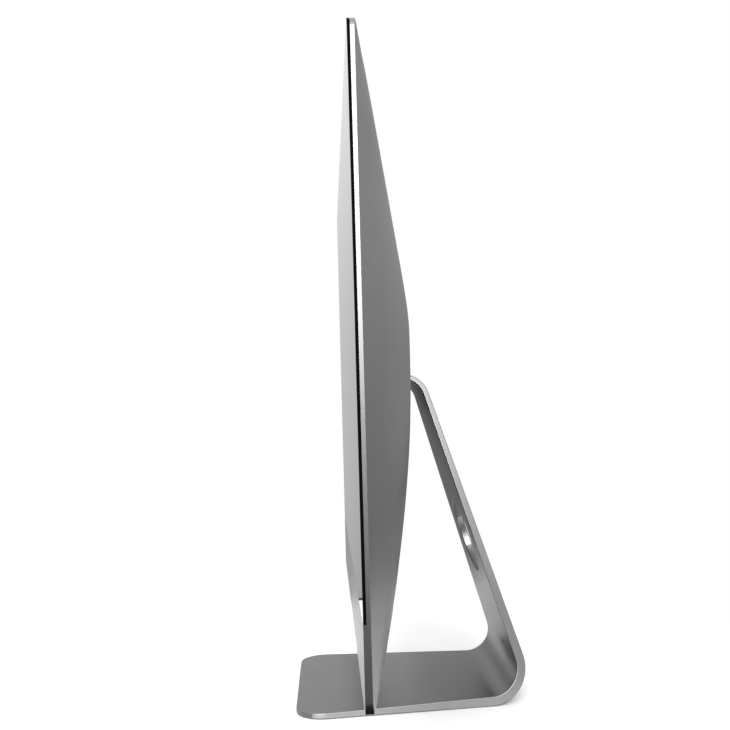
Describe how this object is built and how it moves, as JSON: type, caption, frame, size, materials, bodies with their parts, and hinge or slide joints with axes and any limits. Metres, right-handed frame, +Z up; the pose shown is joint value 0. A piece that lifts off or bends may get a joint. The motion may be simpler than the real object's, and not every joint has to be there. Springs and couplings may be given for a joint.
{
  "type": "all in one pc",
  "caption": "Slim desktop computer in one aluminium display housing with a glass front, tilting on a bent plate stand.",
  "frame": {"origin": "on the desk, at the middle of the foot's depth and width", "axes": "+Z up, +X to the right of a person who faces the screen, the screen faces -Y"},
  "size_m": [0.65, 0.203, 0.516],
  "materials": {
    "aluminium_shell": "fine bead-blasted, anodised",
    "stand_plate": "fine bead-blasted, anodised",
    "screen_glass": "polished, dark bezel behind",
    "screen_panel": "smooth",
    "pressed_steel": "plain",
    "steel_fasteners": "plated",
    "black_plastic": "fine texture",
    "grey_plastic": "satin",
    "circuit_board": "solder mask",
    "chip_black": "moulded",
    "copper_pipe": "dull copper",
    "soft_rubber": "matt",
    "adhesive": "matt",
    "socket_metal": "plated",
    "camera_glass": "polished"
  },
  "bodies": {
    "stand": {"stand": "stand_plate", "foot_pad": "soft_rubber", "hinge_barrel": "black_plastic", "neck_bolts": "steel_fasteners", "hinge_pins": "pressed_steel", "friction_washers": "pressed_steel", "hinge_nuts": "steel_fasteners"},
    "display": {"hinge_bracket_left": "pressed_steel", "hinge_bracket_right": "pressed_steel", "hinge_bushes": "copper_pipe", "bracket_screws": "steel_fasteners", "hinge_shroud": "black_plastic", "rear_housing": "aluminium_shell", "cover_glass": "screen_glass", "display_adhesive": "adhesive", "lcd_panel": "screen_panel", "backlight_tray": "grey_plastic", "camera_module": "camera_glass", "microphones": "chip_black", "light_sensor": "chip_black", "antennas": "circuit_board", "vent_grille": "black_plastic", "fin_stack": "aluminium_shell", "heat_pipes": "copper_pipe", "cold_plate": "copper_pipe", "fan_housing": "black_plastic", "logic_board": "circuit_board", "board_screws": "steel_fasteners", "board_chips": "chip_black", "coin_cell": "pressed_steel", "wireless_card": "circuit_board", "memory_cage": "pressed_steel", "memory_modules": "circuit_board", "card_slot": "socket_metal", "data_sockets": "socket_metal", "link_sockets": "socket_metal", "network_socket": "socket_metal", "audio_socket": "black_plastic", "power_inlet": "black_plastic", "inlet_pins": "socket_metal", "release_spring": "steel_fasteners", "power_switch": "black_plastic", "storage_drive": "aluminium_shell", "drive_brackets": "black_plastic", "power_supply": "circuit_board", "power_supply_cover": "black_plastic", "speaker_left": "black_plastic", "speaker_right": "black_plastic", "speaker_mesh": "black_plastic", "display_cable": "black_plastic", "supply_cable": "soft_rubber"},
    "memory_door": {"memory_door": "aluminium_shell"},
    "door_release": {"door_release": "grey_plastic"},
    "power_button": {"power_button": "aluminium_shell"},
    "fan_rotor": {"fan_rotor": "black_plastic"}
  },
  "joints": [
    {"name": "display_tilt", "type": "hinge", "parent": "stand", "child": "display", "pos_m": [0, -0.0048, 0.29], "axis": [-1, 0, 0], "range_deg": [-5, 25]},
    {"name": "memory_door_swing", "type": "hinge", "parent": "display", "child": "memory_door", "pos_m": [0, 0.00675, 0.2426], "axis": [1, 0, 0], "range_deg": [0, 20]},
    {"name": "release_press", "type": "slide", "parent": "display", "child": "door_release", "axis": [0, -1, 0], "range_m": [0, 0.0015], "stiffness_N_per_m": 400, "springref_m": -0.0005, "deforming": ["release_spring"]},
    {"name": "power_press", "type": "slide", "parent": "display", "child": "power_button", "axis": [0, -1, 0], "range_m": [0, 0.001], "stiffness_N_per_m": 1200, "springref_m": -0.0004},
    {"name": "fan_spin", "type": "hinge", "parent": "display", "child": "fan_rotor", "pos_m": [-0.134, -0.0178, 0.222], "axis": [0, 1, 0], "continuous": true}
  ]
}
